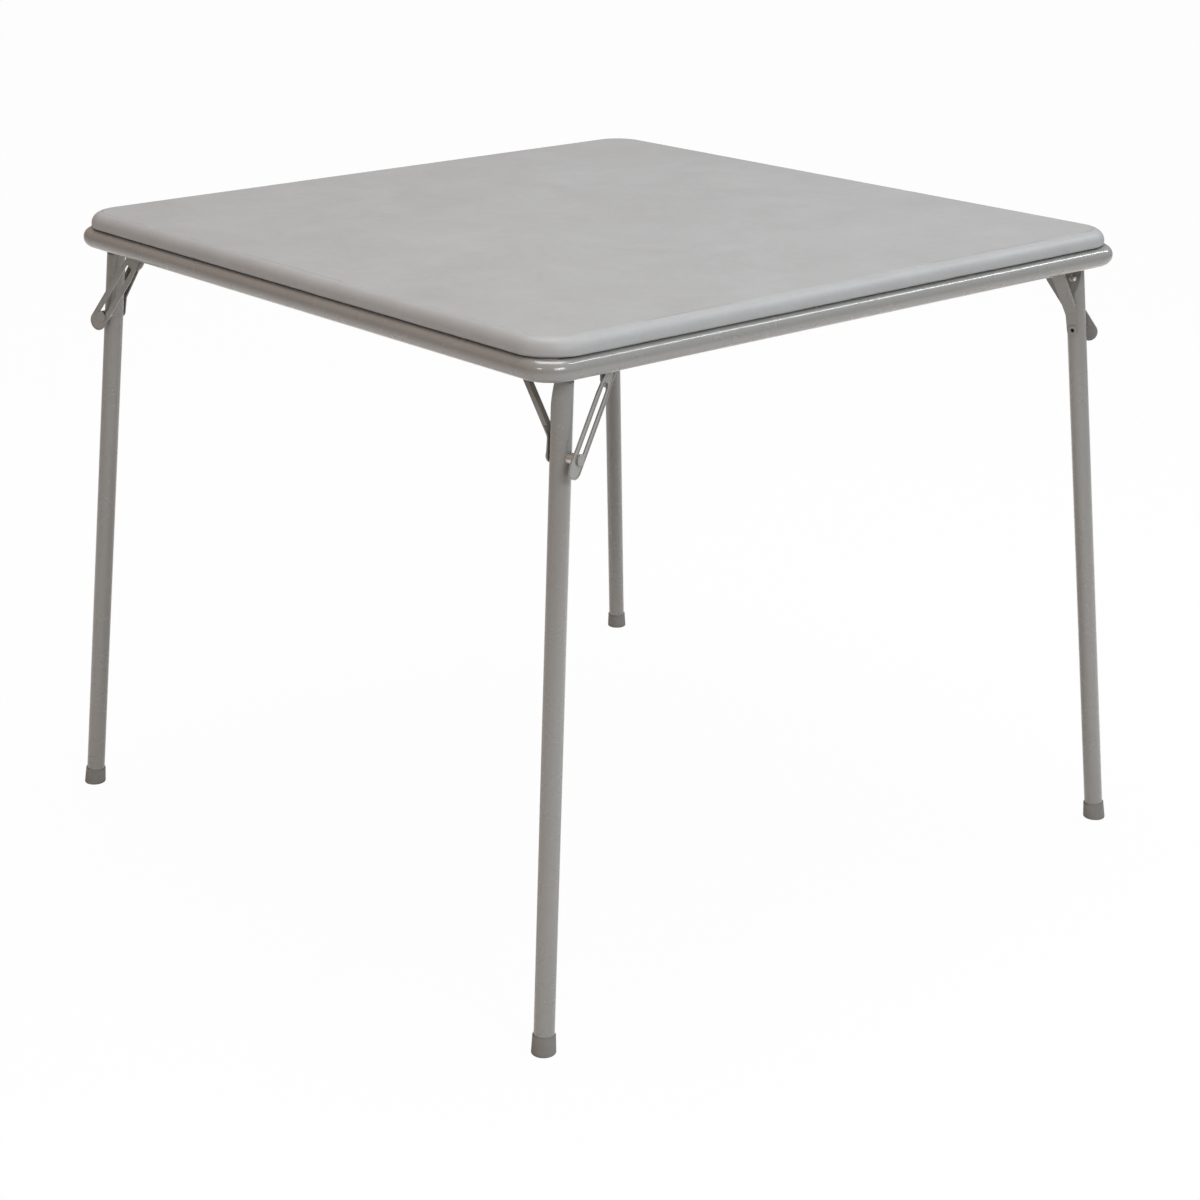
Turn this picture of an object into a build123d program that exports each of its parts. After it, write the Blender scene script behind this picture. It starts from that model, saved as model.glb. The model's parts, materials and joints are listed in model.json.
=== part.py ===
from build123d import *
import math
import os

os.makedirs("parts", exist_ok=True)

# A square card table whose four legs fold flat under the top, each held open by a slotted lever.
# The origin is on the floor under the middle of the top, +Z is up.

# Rim rail
table_side = 864.0  # outside of the rim rail, 34 inches
rail_height = 701.0  # centre line of the rail above the floor
rail_diameter = 22.2
rail_wall = 1.2
rail_corner_radius = 36.0  # outside of the bend
seam_place = -10.0  # from the middle of the left side to the joint in the rail
seam_gap = 0.3
sleeve_length = 60.0
sleeve_wall = 1.2

# Padded top
pad_inset = 5.0  # the pad's edge is this far inside the rail's outside
pad_gap = 0.8  # open gap over the rail
pad_corner_radius = 45.0
vinyl_thickness = 0.8
panel_thickness = 5.0
foam_thickness = 12.6
crown_rise = 1.8  # the middle of the top over the middle of an edge
edge_roll = 12.5
lower_roll = 2.0
hem_width = 30.0
staple_inset = 28.0  # from the rail's outside
staple_width = 10.0
staple_wire = 0.7
staple_depth = 4.0
staple_spacing = 58.0
staple_margin = 14.0  # from the brackets to the first staple

# Where each leg hinges, measured from the rail's outside corner
hinge_along = 52.8
hinge_across = 32.7
hinge_drop = 4.0  # under the rail's centre line
fold_turn = 17.0  # degrees from the rail to the way that the leg folds
back_splay = 69.8  # how far the leg drifts against the fold, down to the floor
side_splay = 22.9  # how far it drifts outward
leg_set_back = 4.5  # the leg's middle behind the hinge, against the fold

# Leg tube, pressed flat at the top
leg_diameter = 21.7
leg_wall = 1.2
tongue_thickness = 4.0
tongue_reach = 10.0  # flat length under the hinge
inner_press_length = 42.0
outer_press_length = 4.0
cap_diameter = 26.0  # foot cap at the floor
cap_top_diameter = 24.1
cap_height = 20.0
cap_base = 4.0
cap_round = 1.5

# Bent strap on the leg's inner side
strap_width = 14.0
strap_thickness = 1.5
strap_offset = 46.0  # its eye from the middle of the leg, along the hinge
strap_bend_low = 68.0  # bends, down the leg from the hinge
strap_bend_high = 11.0
strap_bend_radius = 9.0
strap_edge_depth = 4.0  # edge turned towards the leg, behind the slant
strap_edge_low = 58.0  # where it ends, down the leg from the hinge
strap_edge_high = 13.0

# Lock: a stud on the leg, a slotted lever on the bracket
lock_distance = 86.3  # the stud under the hinge
lever_pivot_along = 45.8  # the lever's pivot from the leg's hinge
lever_pivot_drop = 7.5
lever_width = 21.4
lever_top_width = 15.0  # round the pivot
lever_shoulder = 32.0  # from the pivot to the full width
lever_thickness = 1.2
lever_offset = 22.9  # back of the lever from the middle of the leg's hinge
lip_width = 1.2
lip_height = 0.5
slot_width = 8.5
slot_lip_width = 1.1
slot_lip_height = 0.4
slot_spare = 20.0  # slot past the stud when the leg is folded
notch_depth = 1.2
finger_drop = 9.9
stud_diameter = 7.0
stud_bore = 4.8
stud_head_diameter = 12.0
stud_head_height = 1.2
spacer_diameter = 11.6
button_diameter = 12.0
button_height = 1.4
button_round = 0.6

# Corner bracket
bracket_along = 150.0  # reach along the rail that the leg folds towards
bracket_across = 100.0
bracket_thickness = 2.0
bracket_corner = 6.0
ear_width = 17.0
tab_corner = 4.0
tab_offset = 20.5  # back of the lever tab from the middle of the leg's hinge
tab_length = 42.0  # from the plate's top to the tip
tab_width = 32.0
tab_side = 1.0  # the tab's middle behind the lever's pivot
bracket_outline_shares = [(0.1, 0.15), (1.0, 0.15), (1.0, 0.37), (0.5, 1.0), (0.1, 1.0)]
tab_outline_shares = [(-0.5, 0), (-0.5, 0.8), (-0.25, 1), (0, 1), (0.2, 0.88), (0.36, 0.7), (0.36, 0)]
screw_place_shares = [(0.29, 0.54), (0.48, 0.58), (0.68, 0.5), (0.85, 0.44)]

# Fasteners
pivot_diameter = 6.0
pivot_head_diameter = 11.0
pivot_head_height = 1.8
lever_rivet_head_diameter = 9.0
lever_rivet_head_height = 1.0
nut_across = 10.0
nut_height = 4.0
bolt_end = 1.2
screw_diameter = 3.5
screw_head_diameter = 7.0
screw_head_height = 1.6
screw_bite = 4.0  # into the panel
crimp_distance = 26.0  # blind rivet, down the leg from the hinge
crimp_diameter = 4.8
crimp_head_diameter = 9.0
crimp_head_height = 2.2
crimp_stem = 1.8
crimp_depth = 6.0

# Clearances
running_fit = 0.05  # on the radius, where a piece turns on a pin
seat_fit = 0.05  # on the radius, where pieces of one body meet
side_play = 0.3
open_pivot_gap = 0.5  # between the stud and the lever
seat_gap = 0.2
overrun = 5.0  # how far cuts run past the faces they cut

corner_names = ["front_left", "front_right", "rear_right", "rear_left"]
quarter_turn = 90

# Places worked out from the sizes
half_side = table_side / 2
rail_radius = rail_diameter / 2
leg_radius = leg_diameter / 2
hinge_height = rail_height - hinge_drop
hem_bottom = rail_height + rail_radius + pad_gap
panel_bottom = hem_bottom + vinyl_thickness
panel_top = panel_bottom + panel_thickness
pad_top = panel_top + foam_thickness + vinyl_thickness
plate_top = hem_bottom
plate_bottom = plate_top - bracket_thickness
plate_rise = plate_top - hinge_height

turn = math.radians(fold_turn)
fold_direction = Vector(math.cos(turn), math.sin(turn), 0)
hinge_axis = Vector(math.sin(turn), -math.cos(turn), 0)
hinge_point = Vector(-half_side + hinge_along, -half_side + hinge_across, hinge_height)
fold_frame = Plane(origin=hinge_point, x_dir=fold_direction, z_dir=hinge_axis).location

# Leg frame: x towards the fold, y up the leg, z outward along the hinge
leg_lean = math.degrees(math.atan2(back_splay, hinge_height))
side_lean = math.atan2(side_splay, math.hypot(back_splay, hinge_height))
leg_frame = Rot(0, 0, -leg_lean)
tube_frame = leg_frame * Pos(-leg_set_back, 0, 0)
set_back_rise = leg_set_back * math.sin(math.radians(leg_lean))
leg_length = (hinge_height + set_back_rise) / math.cos(math.radians(leg_lean)) / math.cos(side_lean)
down_leg = Plane(origin=(0, 0, 0), x_dir=(1, 0, 0), z_dir=(0, -math.cos(side_lean), math.sin(side_lean)))
leg_travel = quarter_turn + leg_lean

# Strap frame: origin on the hinge, y up the strap to its eye, z outward
strap_reach = math.hypot(lock_distance, leg_set_back)
strap_frame = leg_frame * Rot(0, 0, -math.degrees(math.asin(leg_set_back / strap_reach)))

# Lever frame: origin at its pivot, y up the lever, z outward
stud_point = (tube_frame * Pos(0, -lock_distance, 0)).position
lever_pivot_point = Vector(lever_pivot_along, -lever_pivot_drop, 0)
stud_way = stud_point - lever_pivot_point
stud_reach = stud_way.length
stud_lean = math.degrees(math.atan2(-stud_way.X, -stud_way.Y))
lever_lean = stud_lean + math.degrees(math.asin(notch_depth / stud_reach))
lever_frame = Pos(lever_pivot_point) * Rot(0, 0, -lever_lean)
slot_low = -math.sqrt(stud_reach**2 - notch_depth**2)
folded_way = Vector(lock_distance, -leg_set_back, 0) - lever_pivot_point
folded_reach = folded_way.length
folded_lean = math.degrees(math.atan2(folded_way.Y, folded_way.X))
slot_high = slot_spare - folded_reach
lever_travel = quarter_turn + lever_lean + folded_lean
lever_front = lever_offset + lever_thickness
ear_face = tongue_thickness / 2 + side_play
ear_back = ear_face + bracket_thickness
flange_back = -strap_offset + strap_thickness / 2 + side_play
stud_end = lever_offset - open_pivot_gap
stud_axis_side = lock_distance * math.tan(side_lean)

up = (Align.CENTER, Align.CENTER, Align.MIN)


def rod(radius, low, high):
    # a round bar along z from low to high
    return Pos(0, 0, low) * Cylinder(radius, high - low, align=up)


def capsule(radius_a, point_a, radius_b, point_b):
    # the outline round two circles
    edges = (Pos(*point_a) * Circle(radius_a)).edges() + (Pos(*point_b) * Circle(radius_b)).edges()
    return make_hull(edges)


def slab(outline, low, high):
    # an outline in xy made solid from z low to z high
    return Pos(0, 0, low) * extrude(outline, high - low)


def pad_block(inset, low, top):
    # the rounded, crowned block of the padded top, moved in by an inset
    side = table_side - 2 * (pad_inset + inset)
    radius = pad_corner_radius - inset
    crown_radius = (table_side / 2) ** 2 / (2 * crown_rise)
    block = slab(RectangleRounded(side, side, radius), low, top + overrun)
    half_angle = math.asin(table_side / crown_radius)
    rim = Vector(table_side, 0, top - crown_radius * (1 - math.cos(half_angle)))
    middle = half_angle / 2
    between = Vector(crown_radius * math.sin(middle), 0, top - crown_radius * (1 - math.cos(middle)))
    arc = ThreePointArc((0, 0, top), between, rim)
    floor_corner = Vector(table_side, 0, low - overrun)
    outline = arc + Polyline(rim, floor_corner, (0, 0, low - overrun), (0, 0, top))
    block = block & revolve(make_face(outline), Axis.Z)
    block = fillet(block.faces().sort_by(Axis.Z)[-1].edges(), edge_roll - inset)
    return fillet(block.faces().sort_by(Axis.Z)[0].edges(), lower_roll - inset)


def padded_top():
    # vinyl skin with a hem turned under, the foam and the panel inside it
    outer = pad_block(0, hem_bottom, pad_top)
    inner = pad_block(vinyl_thickness, panel_bottom, pad_top - vinyl_thickness)
    opening = table_side - 2 * (pad_inset + hem_width)
    hem_cut = slab(Rectangle(opening, opening), hem_bottom - overrun, panel_bottom)
    skin = outer - inner - hem_cut
    side = table_side
    panel = inner & slab(Rectangle(side, side), panel_bottom, panel_top)
    foam = inner & slab(Rectangle(side, side), panel_top, pad_top)
    holes = [Pos(x, y, 0) * rod(screw_diameter / 2, panel_bottom, panel_bottom + screw_bite)
             for x, y in screw_places()]
    panel = panel - all_corners(Compound(holes))
    return skin, foam, panel


def rail_ring(radius):
    side = table_side - rail_diameter
    corner = rail_corner_radius - rail_radius
    path = Pos(0, 0, rail_height) * RectangleRounded(side, side, corner).wire()
    section = Plane(origin=path @ 0, z_dir=path % 0) * Circle(radius)
    return sweep(section, path)


def seam_frame():
    # across the rail at its joint, z along the rail
    return Pos(-half_side + rail_radius, seam_place, rail_height) * Rot(-quarter_turn, 0, 0)


def rim_rail():
    ring = rail_ring(rail_radius) - rail_ring(rail_radius - rail_wall)
    return ring - seam_frame() * rod(rail_diameter, -seam_gap / 2, seam_gap / 2)


def rail_sleeve():
    outside = rail_radius - rail_wall - seat_fit
    half = sleeve_length / 2
    return seam_frame() * (rod(outside, -half, half) - rod(outside - sleeve_wall, -half, half))


def screw_places():
    return [(-half_side + x * bracket_along, -half_side + y * bracket_across) for x, y in screw_place_shares]


def ear(low, high):
    # a lug of the bracket round the hinge line, between two places along it
    shape = Pos(0, plate_rise / 2) * Rectangle(ear_width, plate_rise) + Circle(ear_width / 2)
    return slab(shape, low, high)


def lever_tab():
    middle = lever_pivot_along - tab_side
    points = [(middle + x * tab_width, plate_rise - y * tab_length) for x, y in tab_outline_shares]
    shape = make_face(Polyline(*points, close=True))
    shape = fillet(shape.vertices().sort_by(Axis.Y)[:5], tab_corner)
    return slab(shape, tab_offset, tab_offset + bracket_thickness)


def corner_bracket():
    points = [(-half_side + x * bracket_along, -half_side + y * bracket_across)
              for x, y in bracket_outline_shares]
    plate = fillet(make_face(Polyline(*points, close=True)).vertices(), bracket_corner)
    plate = slab(plate, plate_bottom, plate_top)
    lugs = ear(ear_face, ear_back) + ear(-ear_back, -ear_face)
    lugs = lugs + ear(flange_back, flange_back + bracket_thickness) + lever_tab()
    hole = pivot_diameter / 2 + seat_fit
    lugs = lugs - rod(hole, flange_back - overrun, ear_back + overrun)
    lugs = lugs - Pos(lever_pivot_point) * rod(hole, tab_offset - overrun, lever_front)
    bracket = plate + fold_frame * lugs
    for x, y in screw_places():
        bracket = bracket - Pos(x, y, 0) * rod(screw_diameter / 2 + seat_fit, plate_bottom - overrun, pad_top)
    return bracket - rail_ring(rail_radius + seat_fit)


def leg_cylinder(radius, low, high):
    # round the leg's own axis, low and high measured down from the hinge
    return down_leg.location * rod(radius, low, high)


def press_shape(inset):
    # what the press leaves of the leg's top, seen along the fold direction
    tongue = tongue_thickness / 2 - inset
    inner_start = -tongue_reach - inner_press_length
    outer_start = -tongue_reach - outer_press_length
    wide = side_splay + leg_diameter
    end = -leg_length - leg_diameter
    top = leg_radius + overrun
    points = [(top, tongue), (-tongue_reach, tongue), (outer_start, leg_radius - inset), (outer_start, wide),
              (end, wide), (end, -wide), (inner_start, -wide), (inner_start, inset - leg_radius),
              (-tongue_reach, -tongue), (top, -tongue)]
    return extrude(make_face(Plane.YZ * Polyline(*points, close=True)), leg_diameter, both=True)


def leg_tube():
    length = leg_length - cap_base
    tube = leg_cylinder(leg_radius, 0, length) + rod(leg_radius, -leg_radius, leg_radius)
    tube = tube & press_shape(0)
    bore = leg_cylinder(leg_radius - leg_wall, tongue_reach + leg_wall, length + overrun)
    tube = tube - (bore & press_shape(leg_wall))
    tube = tube - Pos(leg_set_back, 0, 0) * rod(pivot_diameter / 2 + running_fit, -leg_radius, leg_radius)
    stud_hole = rod(stud_diameter / 2 + seat_fit, -leg_diameter, leg_diameter)
    tube = tube - Pos(0, -lock_distance, 0) * stud_hole
    return tube - crimp_place() * rod(crimp_diameter / 2 + seat_fit, -crimp_depth, overrun)


def foot_cap():
    lean_drop = cap_diameter
    shape = Cone(cap_top_diameter / 2, cap_diameter / 2, cap_height, align=up)
    shape = Pos(0, 0, leg_length - cap_height) * shape
    shape = shape + rod(cap_diameter / 2, leg_length, leg_length + lean_drop)
    shape = down_leg.location * shape - leg_cylinder(leg_radius + seat_fit, 0, leg_length - cap_base)
    shape = tube_frame * shape
    ground = Pos(0, -hinge_height - table_side / 2, 0) * Box(table_side, table_side, table_side)
    shape = shape - ground
    return fillet(shape.faces().sort_by(Axis.Y)[0].edges(), cap_round)


def strap_face_side(down):
    # place along the hinge of the strap's middle where it lies on the leg, at a distance down the leg
    return down * math.tan(side_lean) - leg_radius / math.cos(side_lean) - seat_fit - strap_thickness / 2


def strap_sweep(side, back, wide, deep):
    # a bar along the strap's path, its middle moved sideways and away from the leg
    tail = strap_reach + strap_width / 2 + overrun
    path = FilletPolyline(
        (0, -tail, strap_face_side(tail)),
        (0, -strap_bend_low, strap_face_side(strap_bend_low)),
        (0, -strap_bend_high, -strap_offset),
        (0, strap_width, -strap_offset),
        radius=strap_bend_radius,
    )
    start = Plane(origin=path @ 0, x_dir=(1, 0, 0), z_dir=path % 0)
    return sweep(start * Pos(side, back, 0) * Rectangle(wide, deep), path)


def side_strap():
    # flat bar with round ends, its edge turned towards the leg along the slant
    edge_middle = (strap_thickness - strap_width) / 2
    turned = strap_sweep(edge_middle, -strap_edge_depth / 2, strap_thickness, strap_edge_depth)
    slant = [(-strap_width, -strap_edge_low), (0, -strap_edge_low), (0, -strap_edge_high),
             (edge_middle, -strap_edge_high), (-strap_width, -strap_edge_high - strap_edge_depth)]
    turned = turned & slab(make_face(Polyline(*slant, close=True)), -strap_offset - overrun, 0)
    outline = capsule(strap_width / 2, (0, 0), strap_width / 2, (0, -strap_reach))
    strap = strap_sweep(0, 0, strap_width, strap_thickness)
    strap = (strap & slab(outline, -strap_offset - overrun, 0)) + turned
    strap = strap - rod(pivot_diameter / 2 + running_fit, -strap_offset - overrun, -strap_offset + overrun)
    return strap - Pos(0, -strap_reach, 0) * rod(stud_diameter / 2 + seat_fit, -strap_offset, 0)


def lock_stud():
    # hollow rivet through the strap and the leg, its head on the strap
    face = strap_face_side(lock_distance) - strap_thickness / 2 - seat_gap
    head = rod(stud_head_diameter / 2, face - stud_head_height, face)
    head = fillet(head.faces().sort_by(Axis.Z)[0].edges(), stud_head_height / 2)
    stud = head + rod(stud_diameter / 2, face, stud_end)
    stud = stud - rod(stud_bore / 2, face - stud_head_height - overrun, stud_end - leg_wall)
    return Pos(0, -lock_distance, 0) * stud


def stud_spacer():
    ring = rod(spacer_diameter / 2, stud_axis_side, stud_end) - rod(stud_diameter / 2 + seat_fit, 0, stud_end)
    return Pos(0, -lock_distance, 0) * ring - leg_cylinder(leg_radius + seat_fit, 0, leg_length)


def crimp_place():
    # on the pressed inner face, z out of it
    press_depth = leg_radius - tongue_thickness / 2
    slope = math.degrees(math.atan2(press_depth, inner_press_length))
    share = (crimp_distance - tongue_reach) / inner_press_length
    side = -tongue_thickness / 2 - share * press_depth
    return Pos(0, -crimp_distance, side) * Rot(2 * quarter_turn + slope, 0, 0)


def crimp_rivet():
    # blind rivet through the pressed inner face
    head = Cone(crimp_head_diameter / 2, crimp_diameter / 2, crimp_head_height, align=up)
    stem = rod(crimp_diameter / 4, 0, crimp_head_height + crimp_stem)
    shank = rod(crimp_diameter / 2, -crimp_depth, 0)
    rivet = Pos(0, 0, seat_gap) * (head + stem) + shank + rod(crimp_diameter / 2, 0, seat_gap)
    return crimp_place() * rivet


def slotted_lever():
    # narrow round the pivot, a round finger end past the slot, raised edges
    half = lever_width / 2
    finger = (0, slot_low - finger_drop)
    outline = capsule(lever_top_width / 2, (0, 0), half, (0, -lever_shoulder))
    outline = outline + capsule(half, (0, -lever_shoulder), half, finger)
    slot = capsule(slot_width / 2, (0, slot_high), slot_width / 2, (0, slot_low))
    slot = slot + capsule(slot_width / 2, (0, slot_low), slot_width / 2, (notch_depth, slot_low))
    lips = outline - offset(outline, -lip_width)
    slot_lip = offset(slot, slot_lip_width) - slot
    lever = slab(outline - slot, lever_offset, lever_front)
    lever = lever + slab(lips, lever_front, lever_front + lip_height)
    lever = lever + slab(slot_lip, lever_front, lever_front + slot_lip_height)
    return lever - rod(pivot_diameter / 2 + running_fit, 0, lever_front + lip_height)


def lock_button():
    # the stud's flat outer head, which keeps the lever on
    back = lever_front + slot_lip_height + side_play
    button = rod(button_diameter / 2, back, back + button_height)
    button = fillet(button.faces().sort_by(Axis.Z)[-1].edges(), button_round)
    return Pos(notch_depth, slot_low, 0) * button


def hinge_bolt():
    head = rod(pivot_head_diameter / 2, ear_back, ear_back + pivot_head_height)
    head = fillet(head.faces().sort_by(Axis.Z)[-1].edges(), pivot_head_height / 2)
    return head + rod(pivot_diameter / 2, -ear_back - nut_height - bolt_end, ear_back)


def hinge_nut():
    nut = slab(RegularPolygon(nut_across / 2, 6, major_radius=False), -ear_back - nut_height, -ear_back)
    return nut - rod(pivot_diameter / 2 + seat_fit, -ear_back - nut_height, -ear_back)


def pivot_rivet(low, high, head_diameter, head_height):
    # shank from low to high with a head past each end
    back_head = rod(head_diameter / 2, low - head_height, low)
    front_head = rod(head_diameter / 2, high, high + head_height)
    back_head = fillet(back_head.faces().sort_by(Axis.Z)[0].edges(), head_height / 2)
    front_head = fillet(front_head.faces().sort_by(Axis.Z)[-1].edges(), head_height / 2)
    return back_head + rod(pivot_diameter / 2, low, high) + front_head


def strap_pivot():
    strap_back = -strap_offset - strap_thickness / 2 - seat_gap
    return pivot_rivet(strap_back, flange_back + bracket_thickness, pivot_head_diameter, pivot_head_height)


def lever_pivot():
    shank_front = lever_front + seat_gap
    rivet = pivot_rivet(tab_offset, shank_front, lever_rivet_head_diameter, lever_rivet_head_height)
    return Pos(lever_pivot_point) * rivet


def panel_screw():
    screw = rod(screw_head_diameter / 2, plate_bottom - screw_head_height, plate_bottom)
    screw = fillet(screw.faces().sort_by(Axis.Z)[0].edges(), screw_head_height / 2)
    return screw + rod(screw_diameter / 2, plate_bottom, panel_bottom + screw_bite)


def staple():
    # a bar under the hem with two points up into the panel
    bar = Box(staple_width, staple_wire, staple_wire, align=(Align.CENTER, Align.CENTER, Align.MAX))
    point = Box(staple_wire, staple_wire, vinyl_thickness + staple_depth, align=up)
    reach = (staple_width - staple_wire) / 2
    return Pos(0, 0, hem_bottom) * (bar + Pos(-reach, 0, 0) * point + Pos(reach, 0, 0) * point)


def staple_row():
    first = -half_side + bracket_along + staple_margin
    last = half_side - bracket_across - staple_margin
    count = int((last - first) / staple_spacing)
    step = (last - first) / count
    places = [first + number * step for number in range(count + 1)]
    return [Pos(place, -half_side + staple_inset, 0) * staple() for place in places]


def at_corner(shape, corner):
    return Rot(0, 0, corner * quarter_turn) * shape


def all_corners(shape):
    return Compound([at_corner(solid, corner) for corner in range(4) for solid in shape.solids()])


def write(name, shape):
    solids = shape.solids()
    export_step(solids[0] if len(solids) == 1 else Compound(solids), f"parts/{name}.step")


# The top, the rail and what is fixed to them
cover, foam, panel = padded_top()
write("vinyl_cover", cover)
write("foam_pad", foam)
write("top_panel", panel)
write("rim_rail", rim_rail())
write("rail_joint_sleeve", rail_sleeve())
write("hinge_bolts", all_corners(fold_frame * hinge_bolt()))
write("hinge_nuts", all_corners(fold_frame * hinge_nut()))
write("strap_pivot_rivets", all_corners(fold_frame * strap_pivot()))
write("lever_pivot_rivets", all_corners(fold_frame * lever_pivot()))
write("panel_screws", all_corners(Compound([Pos(x, y, 0) * panel_screw() for x, y in screw_places()])))
write("cover_staples", all_corners(Compound(staple_row())))

# One set of pieces for a corner, in that corner's place
corner_pieces = {
    "corner_bracket": corner_bracket(),
    "leg_tube": fold_frame * tube_frame * leg_tube(),
    "foot_cap": fold_frame * foot_cap(),
    "side_strap": fold_frame * strap_frame * side_strap(),
    "lock_stud": fold_frame * tube_frame * lock_stud(),
    "stud_spacer": fold_frame * tube_frame * stud_spacer(),
    "crimp_rivet": fold_frame * tube_frame * crimp_rivet(),
    "slotted_lever": fold_frame * lever_frame * slotted_lever(),
    "lock_button": fold_frame * lever_frame * lock_button(),
}
for corner, corner_name in enumerate(corner_names):
    for piece_name, piece in corner_pieces.items():
        write(f"{piece_name}_{corner_name}", at_corner(piece, corner))

# Places of the joints, for whoever drives them
button_start = fold_frame * lever_frame * Pos(notch_depth, slot_low, 0)
button_end = fold_frame * lever_frame * Pos(0, -folded_reach, 0)
lever_point = (fold_frame * Pos(lever_pivot_point)).position
print("leg hinge", hinge_point, "axis", hinge_axis, "travel", leg_travel)
print("lever hinge", lever_point, "travel", lever_travel)
print("button slide", button_end.position - button_start.position)
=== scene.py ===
import bpy, bmesh, json, math
from mathutils import Matrix, Vector, noise


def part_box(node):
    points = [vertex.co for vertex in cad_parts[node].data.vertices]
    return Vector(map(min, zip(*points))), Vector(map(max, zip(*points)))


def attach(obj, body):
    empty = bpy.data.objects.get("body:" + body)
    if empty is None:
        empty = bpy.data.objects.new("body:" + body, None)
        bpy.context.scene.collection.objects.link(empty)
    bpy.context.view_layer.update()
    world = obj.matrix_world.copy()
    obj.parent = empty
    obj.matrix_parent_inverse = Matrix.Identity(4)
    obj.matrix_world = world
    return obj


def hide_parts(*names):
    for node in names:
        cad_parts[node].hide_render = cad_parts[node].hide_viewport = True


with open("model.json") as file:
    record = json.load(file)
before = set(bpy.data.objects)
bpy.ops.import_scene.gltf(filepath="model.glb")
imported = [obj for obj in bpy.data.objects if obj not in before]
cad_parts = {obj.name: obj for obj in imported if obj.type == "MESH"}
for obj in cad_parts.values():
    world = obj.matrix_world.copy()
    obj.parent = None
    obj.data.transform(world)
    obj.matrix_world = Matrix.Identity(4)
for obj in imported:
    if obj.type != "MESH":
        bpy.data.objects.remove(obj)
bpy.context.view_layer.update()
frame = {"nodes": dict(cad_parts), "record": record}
nodes = frame["nodes"]
rootBody = "top_and_frame"
millimetre = 0.001
print("frame loaded", len(nodes), "nodes")


# helpers for shader and geometry trees

def addNode(tree, kind, **settings):
    node = tree.nodes.new(kind)
    for key, value in settings.items():
        setattr(node, key, value)
    return node


def setInputs(node, **values):
    for key, value in values.items():
        node.inputs[key.replace("_", " ")].default_value = value
    return node


def join(tree, fromSocket, toSocket):
    tree.links.new(fromSocket, toSocket)


def newGroup(name, inputs, outputs):
    # inputs and outputs are lists of (name, socket kind, start value)
    tree = bpy.data.node_groups.new(name, "ShaderNodeTree")
    for direction, sockets in (("INPUT", inputs), ("OUTPUT", outputs)):
        for socketName, kind, value in sockets:
            socket = tree.interface.new_socket(name=socketName, in_out=direction, socket_type=kind)
            if value is not None:
                socket.default_value = value
    return tree, tree.nodes.new("NodeGroupInput"), tree.nodes.new("NodeGroupOutput")


def useGroup(tree, group, **values):
    node = tree.nodes.new("ShaderNodeGroup")
    node.node_tree = group
    return setInputs(node, **values)


def mathNode(tree, operation, first, second=None):
    node = addNode(tree, "ShaderNodeMath", operation=operation)
    for index, value in enumerate((first, second)):
        if value is None:
            continue
        if isinstance(value, (int, float)):
            node.inputs[index].default_value = value
        else:
            join(tree, value, node.inputs[index])
    return node.outputs[0]


def rescale(tree, value, low, high, toLow=0.0, toHigh=1.0):
    node = addNode(tree, "ShaderNodeMapRange", clamp=True)
    for index, number in zip((1, 2, 3, 4), (low, high, toLow, toHigh)):
        node.inputs[index].default_value = number
    join(tree, value, node.inputs[0])
    return node.outputs[0]


def mixColours(tree, factor, first, second, blend="MIX"):
    node = addNode(tree, "ShaderNodeMix", data_type="RGBA", blend_type=blend)
    for index, value in ((0, factor), (6, first), (7, second)):
        socket = node.inputs[index]
        if hasattr(value, "node"):
            join(tree, value, socket)
        else:
            socket.default_value = value
    return node.outputs[2]


def noiseOn(tree, coordinates, scale, detail=4.0, roughness=0.55, distortion=0.0):
    node = addNode(tree, "ShaderNodeTexNoise")
    setInputs(node, Scale=scale, Detail=detail, Roughness=roughness, Distortion=distortion)
    join(tree, coordinates, node.inputs["Vector"])
    return node.outputs["Fac"]


# shared surface effects

def makeCloudGroup():
    # soft cloudy tone with fine wisps, for printed vinyl
    tree, gin, gout = newGroup(
        "cloudyTone",
        [("Vector", "NodeSocketVector", None), ("Dark", "NodeSocketColor", None),
         ("Light", "NodeSocketColor", None), ("Cloud Scale", "NodeSocketFloat", 16.0),
         ("Wisp Scale", "NodeSocketFloat", 120.0)],
        [("Color", "NodeSocketColor", None)],
    )
    cloud = addNode(tree, "ShaderNodeTexNoise")
    setInputs(cloud, Detail=5.0, Roughness=0.6, Distortion=0.6)
    join(tree, gin.outputs["Vector"], cloud.inputs["Vector"])
    join(tree, gin.outputs["Cloud Scale"], cloud.inputs["Scale"])
    wisp = addNode(tree, "ShaderNodeTexNoise")
    setInputs(wisp, Detail=3.0, Roughness=0.65, Distortion=1.5)
    join(tree, gin.outputs["Vector"], wisp.inputs["Vector"])
    join(tree, gin.outputs["Wisp Scale"], wisp.inputs["Scale"])
    cloudMask = rescale(tree, cloud.outputs["Fac"], 0.3, 0.7)
    wispMask = rescale(tree, wisp.outputs["Fac"], 0.35, 0.65)
    cloudShare = mathNode(tree, "MULTIPLY", cloudMask, 0.62)
    wispShare = mathNode(tree, "MULTIPLY", wispMask, 0.38)
    both = mathNode(tree, "ADD", cloudShare, wispShare)
    colour = mixColours(tree, both, gin.outputs["Dark"], gin.outputs["Light"])
    join(tree, colour, gout.inputs["Color"])
    return tree


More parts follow.
